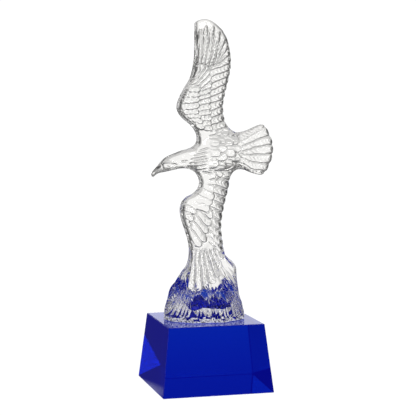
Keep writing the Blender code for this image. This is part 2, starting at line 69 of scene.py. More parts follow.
# Driving sizes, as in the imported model, mm
EAGLE_HEIGHT = 271.3
WING_THICKNESS = 15.4
TRAILING_THICKNESS = 9.0
BODY_DEPTH = 23.0
TAIL_THICKNESS = 11.0
FOOT_DEPTH = 67.6
TIP_SWEEP = 4.0
PLINTH_HEIGHT = 61.2
GLUE_GAP = 0.3

# How far the casting stays inside its drawn outline, and the heights that this fades in between, mm
CASTING_INSET = 0.15
INSET_STARTS = (0.0, 3.0)

# Fineness of the casting's mesh, mm: the outline's, and each face's where it is smooth and where its carving
# bends or it is rock, up to a height; how near the outline its other points come, and the rows of its wall
OUTLINE_STEP = 0.62
FRONT_STEPS = (0.85, 0.45)
BACK_STEPS = (1.1, 0.7)
FINE_ROCK_TOP = 52.0
EDGE_CLEARANCE = 0.5 * OUTLINE_STEP
WALL_ROWS = 6

# The grid that the carving is worked out on, mm, how strongly the carving bends where the mesh is fine, and
# how widely that is softened, mm
CARVING_STEP = 0.2
BEND = 0.2
BEND_SOFTNESS = 0.3

# The fine carving: how widely the feathers and their cuts are softened, the seams' width, the barbs' pitch
# and width, the quills' width, mm, the barbs' slant, and how deep cuts and seams are, for 1 in a row below
POLISH = 0.5
CUT_POLISH = 0.22
SEAM_WIDTH = 0.36
BARB_PITCH = 3.8
BARB_WIDTH = 0.5
QUILL_WIDTH = 0.4
BARB_SLANT = 1.1
CUT_DEPTH = 1.6
SEAM_DEPTH = 1.9

# Where seams meet they are held to this many times their row's depth and this much more, with that depth
# softened this widely, mm
SEAM_MOST = 1.25
SEAM_MOST_OVER = 0.1
SEAM_MOST_POLISH = 1.0

# Along a feather: the shares of its length that it rises over and that its quill fades in and out over, the
# share of its tip that its seam gets shallower over, the distance from its root that the seam starts over,
# mm, and how steeply its sides rise
ROOT_RISES = (0.0, 0.35)
QUILL_STARTS = (0.3, 0.45)
QUILL_ENDS = (0.7, 0.85)
SEAM_FADES = (0.3, 0.9)
SEAM_STARTS = (0.5, 3.5)
SIDE_STEEPNESS = 2.5

# How far the carving strays from its drawing, mm, along x and upwards, in waves given by their share, their
# size in mm and the number of their chance pattern
WANDER = 0.85
WANDER_ALONG = ((1.0, 9.0, 1), (0.5, 3.5, 2))
WANDER_UP = ((1.0, 9.0, 3), (0.5, 3.5, 4))

# The uneven surface that fire polishing leaves: its height, mm, and its size and pattern
RIPPLE = 0.12
RIPPLE_PATTERN = (3.0, 5)

# The dents along the wall: their depth, their size and pattern, how far apart its rows are in that pattern,
# and how much of it is dented. On the rock they are deeper by a share that fades out between two heights.
WALL_RIPPLE = 0.3
WALL_PATTERN = (2.4, 21)
WALL_ROWS_APART = 2.0
WALL_DENTED = 0.7
ROCK_GNARL = 2.2
GNARL_FADES = (40.0, 55.0)

# The notches between feathers' ends: their depth, how near an end they are cut, mm, and how narrow they are
NOTCH_DEPTH = 0.7
NOTCH_REACH = 4.0
NOTCH_SHARPNESS = 5

# The rim along the leading edge, the ground that the feathers rise from, the least depth of all and how far
# the lower wing rises over the rock, mm
RIM_HEIGHT = 0.6
RIM_WIDTH = 1.3
RIM_INSET = 2.4
GROUND_DEPTH = 0.9
LEAST_DEPTH = 1.3
RISE_ONTO_ROCK = 5.5

# Shares: how much of the front's carving and of its swelling body the back has, how much the wing swells at
# the wrist and thins at its tip, how much of its chord is full thickness, and how much the tail thins
BACK_CARVING = 0.45
BACK_SWELL = 0.45
WRIST_SWELL = 0.10
TIP_TAPER = 0.15
FULL_CHORD = 0.15
TAIL_TAPER = 0.35

# The drawing the sizes above are applied to: the height it is drawn in, the depth its rock is drawn in and
# heights above the foot's underside, mm
WING_TIP = 271.3
ROCK_DRAWN_DEEP = 67.6
WRIST = 195.0
WRIST_REACH = 18.0
TAIL_MIDDLE = 152.5
SHOULDER = 145.0
ROCK_TOP = 60.0

# Where one form fades into the next, mm: the place it starts at and the place it is done at. The first two
# are distances from the shoulder's height and from the tail's middle, and the others are along x. The neck's
# section is full and round, and further on the body is a soft swelling of the wings.
WING_ABOVE_HEAD = (9.0, 17.0)
WING_ABOVE_TAIL = (15.0, 21.0)
WING_BEHIND_HEAD = (-14.0, -3.0)
WING_OVER_TAIL = (24.0, 38.0)
TAIL_ROOT = (24.0, 36.0)
TAIL_END = 65.0
NECK_INTO_BODY = (-18.0, 2.0)

# How widely the crease between the wings and the tail is filled, mm
WING_TAIL_FILLET = 3.0

# Where one form fades into the next as heights above the foot's underside, mm
ROCK_INTO_WING = (56.0, 62.0)
WING_OVER_ROCK = (60.0, 66.0)
RISE_FADES = (26.0, 64.0)
RIM_STARTS = (60.0, 70.0)
RIM_ENDS = (251.3, 265.3)
LEANING_BACK = (170.0, 291.3)

# The outline from the upper wing's tip, down past the head to the foot's left end and up past the tail, as
# smooth stretches that meet at corners, in parts by name
FOOT_LEFT = -37.0
FOOT_RIGHT = 36.0
OUTLINE = (
    (
        ("tip", ((-7.4, 268), (-7.7, 250))),
        ("leading", ((-8.4, 235), (-12, 219.5), (-17.6, 210), (-22.8, 200),
                     (-24.9, 193), (-23.4, 187.3), (-19.6, 182.3), (-11.6, 175.5), (-7.7, 170),
                     (-6.3, 165), (-7.6, 159.6), (-12.5, 155.9))),
        ("head", ((-21.7, 153.2), (-30.1, 150), (-36.5, 147.1), (-40.6, 143.2), (-44.6, 138.6),
                  (-48, 135), (-49.1, 131.8), (-48, 129.6))),
    ),
    (
        ("head", ((-46.2, 130.9), (-43, 133), (-36.6, 134.2), (-22.7, 136.9), (-15.2, 136.4),
                  (-9, 133.6))),
        ("leading", ((-4.7, 128), (-4.2, 122.8), (-6.2, 117.7), (-11, 113.6), (-16.4, 110.9),
                     (-20.4, 106.5), (-22.2, 99.5), (-21, 91), (-17.9, 81.5), (-15, 72), (-13.7, 63),
                     (-14.3, 54.5), (-16.2, 48.8))),
        ("rock", ((-21.4, 42), (-25, 36.5), (-29, 29.9), (-32.4, 22.8), (-35.2, 15), (-37, 7.5),
                  (FOOT_LEFT, 0))),
    ),
    (("seat", ((FOOT_RIGHT, 0),)),),
    (("rock", ((36, 6), (34.5, 13), (32.3, 20.5), (30.7, 29), (30, 37), (30, 46))),),
    (("rock", ((26.4, 51), (22.1, 54.9), (19.4, 57.6))),),
    (
        ("trailing", ((18.3, 63), (17.1, 71), (16, 79.5), (15.9, 86), (16.6, 93), (18.2, 101),
                      (20.6, 111), (22.6, 118.5), (23.7, 125.5), (25.4, 131.4))),
        ("tail", ((30, 135), (35.5, 135.4), (42.5, 133), (49, 130.8), (54, 130.5), (58.2, 133.4),
                  (61.4, 139), (64, 146), (65, 154), (64.1, 161.5), (61.4, 168.6), (58.2, 174),
                  (54.6, 176.6), (48.4, 174.9), (42, 172), (36, 170.2), (30, 169.6))),
        ("trailing", ((24.8, 172), (20.8, 176.6), (18.3, 183), (17.4, 190), (17.7, 197), (19.5, 205),
                      (22.4, 216), (24.7, 226), (25.3, 235), (24.5, 244), (22.3, 253.4), (18.6, 260.2))),
        ("tip", ((13.8, 265.3), (8.4, 269.2), (2.6, 271.3), (-3.4, 270.8), (-7.4, 268))),
    ),
)

# How each part of the outline is rounded over: the width of the rounding and the share left at the edge,
# which is all of it along the seat
EDGE_ROUNDING = {
    "leading": (2.8, 0.6),
    "head": (2.5, 0.45),
    "rock": (3.0, 0.55),
    "tail": (7.0, 0.45),
    "trailing": (9.0, 0.45),
    "tip": (4.0, 0.7),
    "seat": (1.0, 1.0),
}

# The bird from the beak to the tail: x, height of the middle line, half height, share of the body's depth
BODY_STATIONS = (
    (-50.0, 131.0, 2.4, 0.20),
    (-45.0, 134.6, 4.2, 0.36),
    (-40.0, 138.4, 6.0, 0.50),
    (-33.0, 141.2, 8.4, 0.66),
    (-22.0, 145.0, 9.2, 0.74),
    (-10.0, 146.5, 12.5, 0.84),
    (4.0, 149.0, 18.0, 0.95),
    (14.0, 150.5, 20.5, 1.0),
    (26.0, 152.0, 19.0, 0.90),
    (38.0, 152.8, 17.0, 0.62),
    (50.0, 152.8, 14.0, 0.38),
)

# A row of carved feathers: the guide curves that their quills start and end on, each feather's form, and how
# deep the seams between the feathers, their barbs and their quills are cut
FeatherRow = namedtuple("FeatherRow", "roots tips count half_width lift tilt crown tip_length seam tip_seam "
                        "barb quill")

UPPER_WING = (
    FeatherRow(((-9, 222), (-2, 222), (7, 230)),
               ((-4.6, 262.5), (4, 265.5), (13.5, 261), (20.5, 252.5), (24.4, 243)),
               7, 3.5, 0.3, -1.0, 1.5, 16.0, 1.2, 0.1, 0.4, 1.0),
    FeatherRow(((1, 226), (-2, 205), (-1, 188), (2, 173)),
               ((26, 236), (22.5, 214), (18.6, 194), (20.6, 177)),
               10, 3.4, 1.0, -1.1, 0.8, 3.0, 0.5, 0.3, 0.5, 0.0),
    FeatherRow(((-12, 214), (-16, 208), (-16, 203)),
               ((-7.5, 229), (0, 229.5), (5, 220)),
               5, 3.0, 1.5, -0.5, 0.9, 3.2, 0.8, 0.7, 0.15, 0.0),
    FeatherRow(((-10, 208), (-13, 190), (-5, 175)),
               ((5.6, 213), (5.2, 192), (6.4, 173)),
               9, 3.1, 1.6, -1.0, 0.9, 2.8, 0.3, 0.3, 0.55, 0.0),
    FeatherRow(((-22, 207), (-25, 193), (-12, 178)),
               ((-5.5, 209.5), (-6.5, 191), (-2, 174)),
               8, 3.0, 2.1, -1.0, 0.9, 2.8, 0.3, 0.3, 0.55, 0.0),
)
LOWER_WING = (
    FeatherRow(((-10, 66), (-1, 64), (9, 66)),
               ((-17, 27.6), (-3.5, 26.6), (9.6, 36), (17, 53)),
               7, 3.8, 0.7, -0.4, 1.3, 4.0, 0.9, 0.8, 0.2, 0.2),
    FeatherRow(((1, 134), (0, 113), (0, 96), (1, 85), (4, 75)),
               ((24.6, 129), (20.2, 106), (16.4, 87), (15.8, 75), (17.6, 62)),
               10, 3.7, 0.9, -0.7, 0.7, 3.0, 0.6, 0.4, 0.2, 0.0),
    FeatherRow(((-6, 107), (-14, 101), (-20, 92), (-18, 82)),
               ((6.5, 92), (3.5, 81), (0, 71.5), (-5.6, 65.5), (-11.5, 63)),
               6, 3.9, 1.5, -0.5, 0.8, 4.0, 1.1, 0.8, 0.12, 0.0),
    FeatherRow(((-25, 105), (-22, 93)),
               ((-9, 98), (-15.5, 84)),
               3, 3.4, 2.1, -0.8, 1.0, 3.0, 0.42, 0.6, 0.22, 0.0),
    FeatherRow(((-10, 119), (-16, 108)),
               ((8.6, 110), (4, 100)),
               3, 4.2, 1.7, -0.5, 0.7, 4.0, 0.35, 0.5, 0.14, 0.0),
)
BODY_ROWS = (10.0, 16.5, 23.0, 29.5)
BODY_ROW_ROOTS = ((-9.5, 170), (-8, 151), (-9.5, 131))
BODY_ROW_TIPS = ((0, 170.5), (3, 151), (0, 131))
BODY_FEATHERS = tuple(
    FeatherRow(tuple((x + ahead, h) for ahead, h in BODY_ROW_ROOTS),
               tuple((x + ahead, h) for ahead, h in BODY_ROW_TIPS),
               5 + k % 2, 3.9, 1.1, -0.2, 0.9, 4.0, 0.8, 1.0, 0.0, 0.3)
    for k, x in enumerate(BODY_ROWS)
)
TAIL_FEATHERS = (
    FeatherRow(((28, 163), (31, 152.5), (28, 142)),
               ((54, 178), (64.6, 165), (66.6, 152), (62.6, 138.6), (54, 129.4)),
               7, 4.6, 0.9, -0.5, 1.0, 3.0, 0.7, 0.8, 0.4, 0.2),
)
NOTCHED = (UPPER_WING[1], LOWER_WING[1], TAIL_FEATHERS[0])

# The lines between the neck's long feathers, how deep and wide they are cut, and how long they fade in and
# out over, mm
HACKLES = (
    ((-17.5, 141.9), (-9.6, 142.3), (-2.0, 143.2), (2.5, 144.8)),
    ((-19.5, 139.2), (-13.0, 138.8), (-7.7, 138.9), (2.0, 141.2)),
    ((-20.0, 137.6), (-13.3, 136.0), (-8.6, 135.1), (1.5, 137.0)),
    ((-16.0, 145.7), (-8.0, 146.5), (1.5, 148.5)),
    ((-13.0, 148.9), (-6.0, 150.3), (2.5, 152.4)),
    ((-9.0, 152.6), (-2.0, 154.6), (4.0, 157.0)),
    ((-13.0, 144.0), (-6.0, 144.6), (3.0, 146.6)),
    ((-25.0, 143.4), (-20.0, 144.0), (-15.0, 143.9)),
    ((-6.0, 134.9), (2.0, 133.0), (9.0, 133.6)),
)
HACKLE_DEPTH = 1.9
HACKLE_WIDTH = 0.75
HACKLE_STARTS = 4.0
HACKLE_ENDS = 5.0

# The rock foot, as boulders inside a steep skirt: where each one's middle is, and its facets by the
# direction they face in plan, how far they stand from that middle at the ground, and their lean
Facet = namedtuple("Facet", "turn reach lean")
SKIRT = (Facet(-72, 37.4, 0.16), Facet(-40, 35.8, 0.16), Facet(-6, 33.6, 0.13), Facet(32, 35.0, 0.15),
         Facet(68, 38.2, 0.20))
BOULDERS = (
    (0.0, (Facet(-34, 56.0, 1.8), Facet(4, 60.0, 2.1), Facet(42, 57.0, 1.8))),
    (-21.0, (Facet(-58, 24.0, 0.45), Facet(-8, 37.0, 0.80), Facet(48, 27.0, 0.58))),
    (25.0, (Facet(-50, 9.0, 0.02), Facet(4, 13.5, 0.13), Facet(58, 11.0, 0.05))),
    (0.0, (Facet(-60, 33.0, 0.34), Facet(0, 12.5, 0.10), Facet(60, 33.0, 0.14))),
    (-1.0, (Facet(-55, 27.1, 0.7), Facet(0, 48.0, 1.25), Facet(55, 27.1, 0.7))),
    (10.5, (Facet(-58, 22.0, 0.6), Facet(5, 44.0, 1.25), Facet(60, 21.0, 0.6))),
    (21.0, (Facet(-50, 29.0, 0.62), Facet(12, 46.0, 1.05), Facet(62, 24.0, 0.5))),
    (-24.0, (Facet(-60, 24.0, 0.45), Facet(-15, 40.0, 0.8), Facet(40, 30.0, 0.75))),
)
LEAST_ROCK = 3.2
FOOT_LIP = 5.0
FOOT_LIP_HEIGHT = 7.5

# The flutes in the rock: they fan out from one height, wander in two waves given by their size and length,
# and fade out low down and at the skirt's top, or higher up at the rock's two ends
FAN_HEIGHT = 78.0
FLUTE_PITCH = 4.0
FLUTE_DEPTH = 1.5
FLUTE_SHARPNESS = 1.5
FLUTE_WANDER = ((1.7, 5.3), (0.9, 2.1))
FLUTES_START = (3.0, 6.5)
SKIRT_TOP = 28.0
SKIRT_FADE = 9.0
SKIRT_WAVE = (3.0, 3.4)
END_FLUTES = (13.0, 18.0)
END_FLUTES_TOP = (38.0, 50.0)
END_FLUTES_SHARE = 0.35

# The broken faces over the rock, as flat facets: their width, height and depth, the number of their chance
# pattern, how much they lean over with height and the heights that they fade in between
BREAK_WIDTH = 7.5
BREAK_HEIGHT = 26.0
BREAK_DEPTH = 2.8
BREAK_PATTERN = 31
BREAK_LEAN = 0.12
BREAKS_START = (0.0, 3.0)

# The lumps round the foot's lower edge: their height, their size and pattern, and the heights that they fade
# in and out between
FOOT_LUMPS = 0.8
FOOT_LUMP_PATTERN = (2.0, 15)
FOOT_LUMPS_START = (0.0, 1.5)
FOOT_LUMPS_END = (4.0, 7.0)

# The band of ground glass round the foot's lower edge: its height, how far that strays, and the stray's
# size and pattern
BAND_HEIGHT = 3.4
BAND_STRAY = 1.8
BAND_PATTERN = (2.4, 33)

# The head's carving, mm: places and half sizes as x and height, the x that lines fade in and out between,
# and heights, depths and widths
EYE = (-32.2, 140.0)
EYE_SIZE = (3.2, 1.25)
SOCKET = (-32.4, 140.2)
SOCKET_SIZE = (5.0, 2.3)
BROW = (-34.0, 143.4)
BROW_CURVE = 0.03
BROW_START = (-41.0, -38.5)
BROW_END = (-29.0, -25.0)
MOUTH_HEIGHT = 134.2
MOUTH_RISE = 3.4
MOUTH_CURVE = (-47.0, -38.0)
MOUTH_START = (-48.0, -46.0)
MOUTH_END = (-36.0, -33.5)
CERE = (-39.6, 139.0)
CERE_TOP = (136.5, 138.0)
CERE_SLOPE = 0.35
EYE_HEIGHT = 1.7
SOCKET_DEPTH = 1.7
BROW_HEIGHT = 1.4
BROW_WIDTH = 0.9
MOUTH_DEPTH = 1.6
MOUTH_WIDTH = 0.55
CERE_DEPTH = 1.2
CERE_WIDTH = 0.6

# The casting's material slots
CLEAR, GLUED, GROUND = 0, 1, 2

# Surfaces of glass: the size and the depth of their ripples, metres, and their greatest roughness
CAST_SURFACE = (0.009, 0.00004, 0.01)
GLUED_SURFACE = (0.009, 0.0, 0.0)
GROUND_SURFACE = (0.003, 0.0005, 0.5)
CUT_SURFACE = (0.02, 0.00001, 0.01)

# The clear glass, and what the cobalt glass lets through, how much it soaks up per metre, and a painted blue
# glow that it gives off, though it is no lamp
WHITE = (1.0, 1.0, 1.0, 1.0)
GLASS_IOR = 1.52
CLEAR_COLOUR = (0.91, 0.902, 0.885)
SOAK_COLOUR = (0.1, 0.54, 0.81)
SOAK_DENSITY = 100.0
PAINTED_GLOW_COLOUR = (0.02, 0.015, 1.0)
PAINTED_GLOW_STRENGTH = 4.9

# Chance colours: their patches per metre, their detail, and two colours, each with its place in the noise
# Under the foot: patches of painted shade, near black, and of painted blue, standing in for what is seen
# through the foot
GLUE_PAINTED_BLUE_AND_SHADE = (130.0, 2.0, (0.42, (0.0, 0.0, 0.03)), (0.60, (0.02, 0.03, 0.75)))
# Round the foot's lower edge: pale, speckled dark, a colour that the band also gives off as a painted glow
GROUND_SPECKLED_AND_GLOW = (520.0, 3.0, (0.40, (0.13, 0.12, 0.11)), (0.52, (1.0, 0.99, 0.96)))
GROUND_CLEARNESS = 0.4
# How strongly the ground band gives off its colour as a painted glow, which no lamp gives
GROUND_PAINTED_GLOW = 0.3

# The floor's finish
FLOOR_COLOUR = (0.9, 0.9, 0.9)
FLOOR_ROUGHNESS = 0.2
FLOOR_IOR = 1.15
FLOOR_GLOW = 0.92

# The studio's brightness from below upwards: the heights, as sines, that each band fades in between, and its
# brightness by the turn from +Y towards +X in degrees
BANDS = (
    (0.0, 0.0, ((-180, 0.7),)),
    (-0.4, -0.27, ((-180, 0.9), (-39, 0.9), (-35, 0.04), (-13, 0.04), (-4, 0.5), (5, 1.06), (25.5, 1.06),
                   (34, 0.7), (46, 0.2), (54, 0.05), (70, 0.05), (76, 0.9))),
    (-0.05, -0.01, ((-180, 0.25), (-39, 0.25), (-35, 0.04), (-13, 0.04), (-4, 0.5), (5, 1.06), (25.5, 1.06),
                    (34, 0.7), (46, 0.2), (54, 0.05), (70, 0.05), (76, 0.1), (154, 0.1), (159, 0.02),
                    (171, 0.02), (176, 0.25))),
    (0.15, 0.32, ((-180, 0.1), (-14, 0.1), (4, 0.36), (27, 0.36), (40, 0.1))),
    (0.4, 0.6, ((-180, 0.06),)),
)

# The soft lights: the direction they stand in as a turn and a rise in degrees, their distance and size in
# metres and their power, round one middle
SOFTBOXES = (
    ("overhead", 20.0, 83.0, 1.8, 1.6, 2.5),
    ("key", 161.5, 25.0, 1.5, 0.5, 5.5),
    ("left", -22.0, 8.0, 2.0, 0.26, 0.25),
)
SOFTBOX_MIDDLE = Vector((0.0, 0.0, 0.1))


def smooth_step(low, high, value):
    """0 below low, 1 above high, with an even rise between."""
    t = np.clip((value - low) / (high - low), 0.0, 1.0)
    return t * t * (3.0 - 2.0 * t)


def smooth_max(a, b, blend):
    """The larger of two fields, with the crease between them filled over a width of blend."""
    t = np.clip(0.5 + 0.5 * (a - b) / blend, 0.0, 1.0)
    return b + (a - b) * t + blend * t * (1.0 - t)


def guide_curve(points, samples):
    """A smooth curve through the points, as samples + 1 places for each span."""
    knots = np.array(points, float)
    before = 2 * knots[0] - knots[1]
    after = 2 * knots[-1] - knots[-2]
    knots = np.vstack([before, knots, after])
    t = np.linspace(0.0, 1.0, samples, endpoint=False)[:, None]
    spans = []
    for a, b, c, d in zip(knots, knots[1:], knots[2:], knots[3:]):
        spans.append(0.5 * (2 * b + (c - a) * t + (2 * a - 5 * b + 4 * c - d) * t**2
                            + (3 * b - a - 3 * c + d) * t**3))
    return np.vstack(spans + [knots[-2:-1]])


def even_places(curve, count):
    """Count + 1 places at equal distances along a curve, its ends included."""
    length = np.concatenate([[0.0], np.cumsum(np.hypot(*np.diff(curve, axis=0).T))])
    wanted = np.linspace(0.0, length[-1], count + 1)
    return np.column_stack([np.interp(wanted, length, curve[:, k]) for k in (0, 1)])


def outline_places(step):
    """The outline as evenly spaced places, its corners included, and the name of the part each is in."""
    places = []
    names = []
    corner = OUTLINE[-1][-1][1][-1]
    for stretch in OUTLINE:
        points = [corner]
        labels = []
        for name, part in stretch:
            for point in part:
                if point != corner:
                    points.append(point)
                    labels.append(name)
        corner = points[-1]
        samples = 12
        curve = guide_curve(points, samples) if len(points) > 2 else np.array(points, float)
        count = max(2, round(np.hypot(*np.diff(curve, axis=0).T).sum() / step))
        even = even_places(curve, count)[:-1]
        nearest = np.abs(even[:, None] - curve[None]).sum(2).argmin(1)
        for place, k in zip(even, nearest):
            places.append(place)
            names.append(labels[min(k // samples, len(labels) - 1)])
    return np.array(places), names


def inward_normals(places):
    """For each place on the outline, the direction that points into it."""
    along = np.roll(places, -1, axis=0) - np.roll(places, 1, axis=0)
    return np.column_stack([-along[:, 1], along[:, 0]]) / np.hypot(*along.T)[:, None]


def notched(places):
    """The outline with a small notch between the ends of neighbouring feathers."""
    moved = places.copy()
    for row in NOTCHED:
        tips = guide_curve(row.tips, samples=24)
        length = np.concatenate([[0.0], np.cumsum(np.hypot(*np.diff(tips, axis=0).T))])
        apart = np.hypot(places[:, None, 0] - tips[None, :, 0], places[:, None, 1] - tips[None, :, 1])
        nearest = apart.argmin(1)
        on_edge = (apart.min(1) < NOTCH_REACH) & (nearest > 0) & (nearest < len(tips) - 1)
        feather = length[nearest] / length[-1] * (row.count - 1)
        notch = NOTCH_DEPTH * np.abs(np.sin(math.pi * feather)) ** NOTCH_SHARPNESS * on_edge
        moved += inward_normals(places) * notch[:, None]
    return moved


def distances(x, h, places, names):
    """The distance from each point to each named part of the outline."""
    found = {}
    after = np.roll(places, -1, axis=0)
    for name in EDGE_ROUNDING:
        nearest = np.full(x.shape, FAR)
        for (ax, ah), (bx, bh), label in zip(places, after, names):
            if label != name:
                continue
            ux, uh = bx - ax, bh - ah
            t = np.clip(((x - ax) * ux + (h - ah) * uh) / (ux * ux + uh * uh), 0.0, 1.0)
            nearest = np.minimum(nearest, (x - ax - t * ux) ** 2 + (h - ah - t * uh) ** 2)
        found[name] = np.sqrt(nearest)
    return found


def uneven(x, h, size, pattern):
    """Smooth chance bumps about size wide, from -1 to 1, the same each time."""
    cells = 256
    chance = np.random.default_rng(pattern).uniform(-1.0, 1.0, (cells, cells))
    i, j = np.floor(h / size).astype(int), np.floor(x / size).astype(int)
    v, u = smooth_step(0.0, 1.0, h / size - i), smooth_step(0.0, 1.0, x / size - j)
    lower = chance[i % cells, j % cells] * (1 - u) + chance[i % cells, (j + 1) % cells] * u
    upper = chance[(i + 1) % cells, j % cells] * (1 - u) + chance[(i + 1) % cells, (j + 1) % cells] * u
    return lower * (1 - v) + upper * v


def broken(x, h, width, height, pattern):
    """Flat three-sided facets at chance depths, from 0 to 1, the same each time."""
    cells = 64
    chance = np.random.default_rng(pattern).uniform(0.0, 1.0, (cells, cells))
    row = np.floor(h / height).astype(int)
    x = x / width + chance[row % cells, 0]
    column = np.floor(x).astype(int)
    v, u = h / height - row, x - column
    here = chance[row % cells, column % cells]
    right = chance[row % cells, (column + 1) % cells]
    over = chance[(row + 1) % cells, column % cells]
    across = chance[(row + 1) % cells, (column + 1) % cells]
    low = here + (right - here) * u + (over - here) * v
    high = across + (over - across) * (1 - u) + (right - across) * (1 - v)
    return np.where(u + v < 1.0, low, high)


def softened(field, softness):
    """A field on the carving's grid, softened over a small distance."""
    reach = math.ceil(3 * softness / CARVING_STEP)
    weights = np.exp(-0.5 * (np.arange(-reach, reach + 1) * CARVING_STEP / softness) ** 2)
    weights /= weights.sum()
    for axis in (0, 1):
        padded = np.pad(field, [(reach, reach) if k == axis else (0, 0) for k in (0, 1)], mode="edge")
        size = field.shape[axis]
        field = sum(w * np.take(padded, range(k, k + size), axis) for k, w in enumerate(weights))
    return field


def strayed(values, x, h, waves):
    """The values at the points, moved by chance waves."""
    for share, size, pattern in waves:
        values = values + share * WANDER * uneven(x, h, size, pattern)
    return values


def reached(x, h, root, tip, reach):
    """The part of the grid within reach of a feather, as slices, or None where it is off the grid."""
    part = []
    for places, start, end, axis in ((h, root[1], tip[1], 1), (x, root[0], tip[0], 0)):
        low, high = min(start, end) - reach, max(start, end) + reach
        within = np.flatnonzero((places.max(axis) > low) & (places.min(axis) < high))
        if not within.size:
            return None
        part.append(slice(within[0], within[-1] + 1))
    return tuple(part)


def carved_feather(x, h, root, tip, row):
    """One feather at the points: where it lies, its height, its fine cuts and its seam's depth."""
    (rx, rh), (tx, th) = root, tip
    length = math.hypot(tx - rx, th - rh)
    ux, uh = (tx - rx) / length, (th - rh) / length
    along = (x - rx) * ux + (h - rh) * uh
    across = (h - rh) * ux - (x - rx) * uh
    from_tip = np.clip(1.0 - (length - along) / row.tip_length, 0.0, 1.0)
    width = row.half_width * np.sqrt(1.0 - from_tip**2)
    inside = (along > 0.0) & (along < length) & (np.abs(across) < width)
    q = np.where(inside, across / np.maximum(width, TINY), 1.0)
    swell = np.sqrt(np.maximum(1.0 - q**2, 0.0))
    rise = smooth_step(*ROOT_RISES, along / length)
    height = row.lift * along / length + rise * (row.crown * swell + row.tilt * q)
    height = height * np.minimum(1.0, SIDE_STEEPNESS * swell)
    place = (along - BARB_SLANT * np.abs(across)) / BARB_PITCH
    barbs = ridge((place - np.round(place)) * BARB_PITCH, BARB_WIDTH)
    quill = ridge(across, QUILL_WIDTH) * smooth_step(*QUILL_STARTS, along / length)
    quill = quill * (1.0 - smooth_step(*QUILL_ENDS, along / length))
    seam = row.seam * (1.0 - (1.0 - row.tip_seam) * smooth_step(*SEAM_FADES, from_tip))
    return inside, height, row.barb * barbs + row.quill * quill, seam * smooth_step(*SEAM_STARTS, along)


def feather_relief(x, h, rows):
    """The carved feathers on the grid: their height over the ground, their cuts and their seams' depth."""
    x = strayed(x, x, h, WANDER_ALONG)
    h = strayed(h, x, h, WANDER_UP)
    relief = np.zeros_like(x)
    cuts = np.zeros_like(x)
    seam = np.zeros_like(x)
    owner = np.zeros(x.shape, int)
    number = 0
    for row in rows:
        roots = even_places(guide_curve(row.roots, samples=12), row.count - 1)
        tips = even_places(guide_curve(row.tips, samples=12), row.count - 1)
        for root, tip in zip(roots, tips):
            number += 1
            part = reached(x, h, root, tip, row.half_width + 2 * WANDER)
            if part is None:
                continue
            inside, height, cuts_here, seam_here = carved_feather(x[part], h[part], root, tip, row)
            on_top = inside & (height > relief[part])
            relief[part] = np.where(on_top, height, relief[part])
            cuts[part] = np.where(on_top, cuts_here, cuts[part])
            seam[part] = np.where(on_top, seam_here, seam[part])
            owner[part] = np.where(on_top, number, owner[part])
    edge = np.zeros_like(x)
    for axis in (0, 1):
        other = np.roll(owner, 1, axis)
        deepest = np.maximum(seam, np.roll(seam, 1, axis))
        edge = np.maximum(edge, np.where(owner != other, deepest, 0.0))
    line = math.sqrt(2 * math.pi) * SEAM_WIDTH / CARVING_STEP
    most = SEAM_MOST * softened(seam, SEAM_MOST_POLISH) + SEAM_MOST_OVER
    return relief, cuts, np.minimum(softened(edge, SEAM_WIDTH) * line, most)


def body_depth(x, h):
    """Half the depth of the body, neck and head on their middle line, and the share left at each point."""
    at, middle, half_height, share = guide_curve(BODY_STATIONS, samples=16).T
    centre = np.interp(x, at, middle)
    rise = np.interp(x, at, half_height)
    full = np.interp(x, at, share) * BODY_DEPTH / 2
    out = np.clip(np.abs(h - centre) / rise, 0.0, 1.0)
    into_body = smooth_step(*NECK_INTO_BODY, x)
    return full, (1.0 - into_body) * np.sqrt(1.0 - out**4) + into_body * (1.0 - out**2) ** 1.5


def wing_depth(x, h, near):
    """Half the thickness of the wings, thick along the leading edge and thin along the trailing one."""
    chord = near["leading"] / (near["leading"] + near["trailing"] + TINY)
    thick, thin = WING_THICKNESS / 2, TRAILING_THICKNESS / 2
    depth = thick + (thin - thick) * smooth_step(FULL_CHORD, 1.0, chord)
    swell = WRIST_SWELL * np.exp(-(((h - WRIST) / WRIST_REACH) ** 2))
    taper = TIP_TAPER * smooth_step(WRIST + WRIST_REACH, WING_TIP, h)
    from_head = smooth_step(*WING_ABOVE_HEAD, np.abs(h - SHOULDER))
    from_tail = smooth_step(*WING_ABOVE_TAIL, np.abs(h - TAIL_MIDDLE))
    clear_of_head = np.maximum(from_head, smooth_step(*WING_BEHIND_HEAD, x))
    clear_of_tail = np.maximum(from_tail, 1.0 - smooth_step(*WING_OVER_TAIL, x))
    return depth * (1.0 + swell - taper) * clear_of_head * clear_of_tail


def tail_depth(x):
    """Half the thickness of the tail, thinning towards its feathers' ends."""
    taper = TAIL_TAPER * smooth_step(TAIL_ROOT[1], TAIL_END, x)
    return TAIL_THICKNESS / 2 * smooth_step(*TAIL_ROOT, x) * (1.0 - taper)


def boulder_depth(x, h, middle, facets):
    """How far a mound of flat facets stands out of the middle plane."""
    deepened = FOOT_DEPTH / ROCK_DRAWN_DEEP
    depth = np.full_like(x, FAR)
    for facet in facets:
        turn = math.radians(facet.turn)
        facet_depth = facet.reach * deepened - facet.lean * h - (x - middle) * math.sin(turn)
        depth = np.minimum(depth, facet_depth / math.cos(turn))
    return depth


